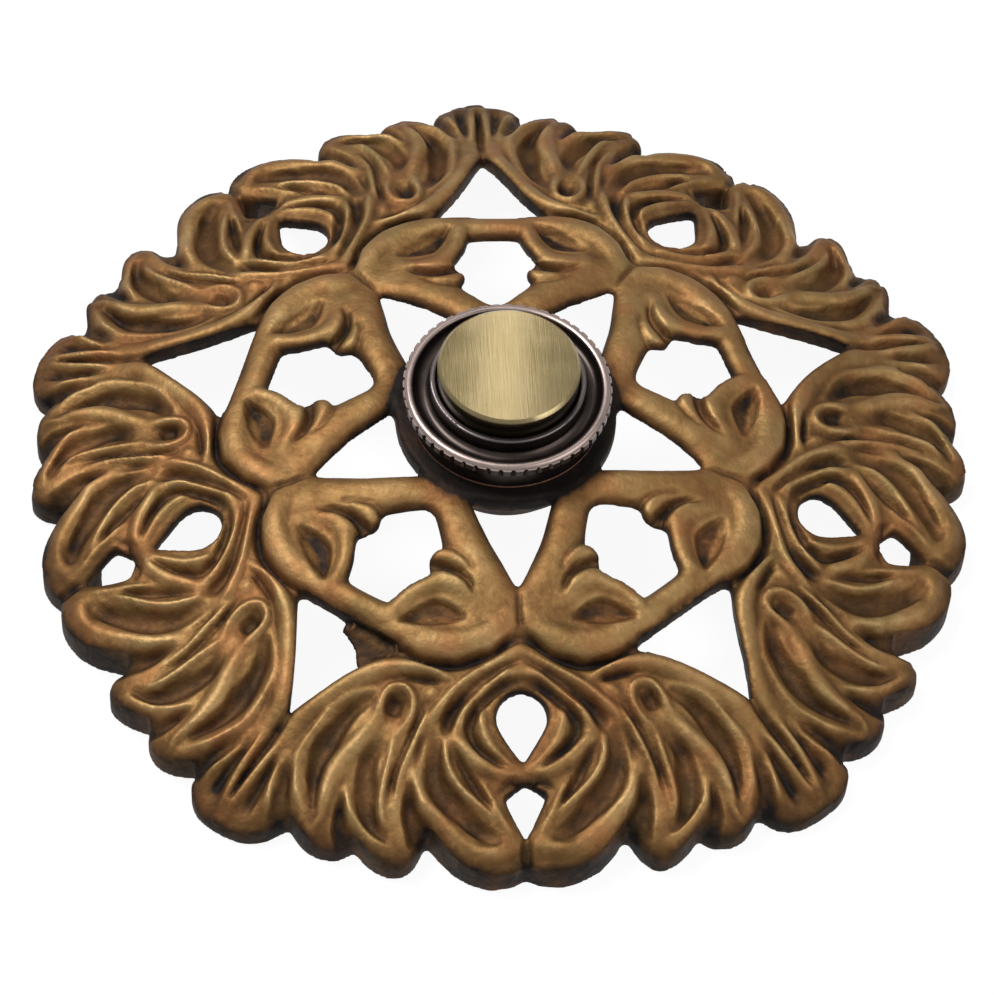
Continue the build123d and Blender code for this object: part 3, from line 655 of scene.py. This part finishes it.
# Snap ring and clip: steel wire and strip, zinc plated.
zinc = turned_finish("plated_steel", (0.42, 0.42, 0.44), (0.62, 0.62, 0.64), 0.95, 0.35)
for node in ("snap_ring", "plunger_clip"):
    dress(node, zinc)

# Springy switch pieces of drawn phosphor bronze.
phosphor = turned_finish("phosphor_bronze", (0.50, 0.32, 0.15), (0.70, 0.50, 0.28), 0.95, 0.3)
for node in ("contact_disc", "fixed_contact_left", "fixed_contact_right"):
    dress(node, phosphor)

# The return spring: coiled bronze wire under the plunger's disc, which the button's travel shortens on
# the real push; here it keeps its modelled length.
spring = merged_copy("return_spring", "coiled_spring")
smooth(spring)
spring.data.materials.clear()
spring.data.materials.append(phosphor)
spring_z = mesh_values(spring.data, "co")[:, 2]
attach(spring, "rosette")
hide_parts("return_spring")
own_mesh(spring)


# Contact base of dark phenolic moulding, and the gasket and bush of fibre.
def dull_finish(name, dark, light, grains, roughness):
    """A non-metal with a mottled face."""
    dull = Finish(name, Metallic=0.0)
    mottle = dull.noise(grains, 5)
    dull.feed(
        Base_Color=dull.ramp(mottle, (0.35, dark), (0.7, light)),
        Roughness=(roughness + 0.2 * (mottle - 0.5)).held(),
    )
    dull.bump(mottle, 0.2, 0.0001)
    return dull.material


dress("contact_base", dull_finish("phenolic", (0.05, 0.03, 0.02), (0.12, 0.08, 0.055), 900, 0.35))
fibre = dull_finish("vulcanised_fibre", (0.13, 0.055, 0.035), (0.25, 0.11, 0.07), 2500, 0.65)
dress("seat_gasket", fibre)
dress("disc_bush", fibre)

# Floor, light and camera: a white sheet under soft light, seen as the
# photograph sees it.
FLOOR_REACH = 3.0       # metres to each side
FLOOR_GLOW = 0.93       # how much of the sheet's white, as the camera sees it, is plain white
floor_shape = bmesh.new()
bmesh.ops.create_grid(floor_shape, x_segments=1, y_segments=1, size=FLOOR_REACH)
floor_mesh = bpy.data.meshes.new("floor")
floor_shape.to_mesh(floor_mesh)
floor_shape.free()
floor = bpy.data.objects.new("floor", floor_mesh)
bpy.context.scene.collection.objects.link(floor)
sheet = Finish("white_sheet", Roughness=0.9)
sheet.shader.inputs["Base Color"].default_value = (0.9, 0.9, 0.9, 1)
rays = sheet.node("ShaderNodeLightPath", output="Is Camera Ray")
glossy = Value(sheet, rays.socket.node.outputs["Is Glossy Ray"])
glow = sheet.node("ShaderNodeEmission", {}, {"Color": (1, 1, 1, 1), "Strength": 1.0}, "Emission")
lit = sheet.node("ShaderNodeMixShader", {}, {
    0: (rays + glossy).held() * FLOOR_GLOW, 1: Value(sheet, sheet.shader.outputs[0]), 2: glow})
sheet.tree.links.new(lit.socket, sheet.tree.nodes["Material Output"].inputs["Surface"])
floor.data.materials.append(sheet.material)

world = bpy.data.worlds.new("studio")
bpy.context.scene.world = world
world.use_nodes = True
background = world.node_tree.nodes["Background"]
background.inputs["Color"].default_value = (1, 1, 1, 1)
background.inputs["Strength"].default_value = 0.55


def lamp(name, place, aim, wide, long, power):
    """A soft box."""
    light = bpy.data.lights.new(name, "AREA")
    light.shape = "RECTANGLE"
    light.size = wide
    light.size_y = long
    light.energy = power
    holder = bpy.data.objects.new(name, light)
    holder.location = place
    holder.rotation_euler = (Vector(aim) - Vector(place)).to_track_quat("-Z", "Y").to_euler()
    bpy.context.scene.collection.objects.link(holder)


lamp("key", (-0.30, 0.16, 0.60), (0, 0, 0), 0.30, 0.30, 5.5)
lamp("fill", (0.45, -0.25, 0.50), (0, 0, 0), 0.5, 0.5, 2.2)
lamp("strip", (0.034, 0.37, 0.51), (0, 0, 0.02), 0.05, 0.40, 0.22)

# The camera that took the photograph, found from the openings that repeat
AZIMUTH, ELEVATION, ROLL = (math.radians(a) for a in (-6.38, 54.447, -3.981))
TARGET = Vector((-1.261, -8.377, 10.0)) * mm
DISTANCE = 424.33 * mm
SENSOR = 36.0
FOCAL = 142.754
level = math.cos(ELEVATION)
towards = Vector((math.sin(AZIMUTH) * level, -math.cos(AZIMUTH) * level, math.sin(ELEVATION)))
right = Vector((math.cos(AZIMUTH), math.sin(AZIMUTH), 0))
upward = towards.cross(right)
camera_right = math.cos(ROLL) * right - math.sin(ROLL) * upward
camera_up = math.sin(ROLL) * right + math.cos(ROLL) * upward
lens = bpy.data.cameras.new("camera")
lens.sensor_fit = "HORIZONTAL"
lens.sensor_width = SENSOR
lens.lens = FOCAL
lens.clip_start = 0.01
camera = bpy.data.objects.new("camera", lens)
camera.location = TARGET + DISTANCE * towards
camera.rotation_euler = Matrix((camera_right, camera_up, towards)).transposed().to_euler()
bpy.context.scene.collection.objects.link(camera)
bpy.context.scene.camera = camera
bpy.context.scene.view_settings.view_transform = "Standard"
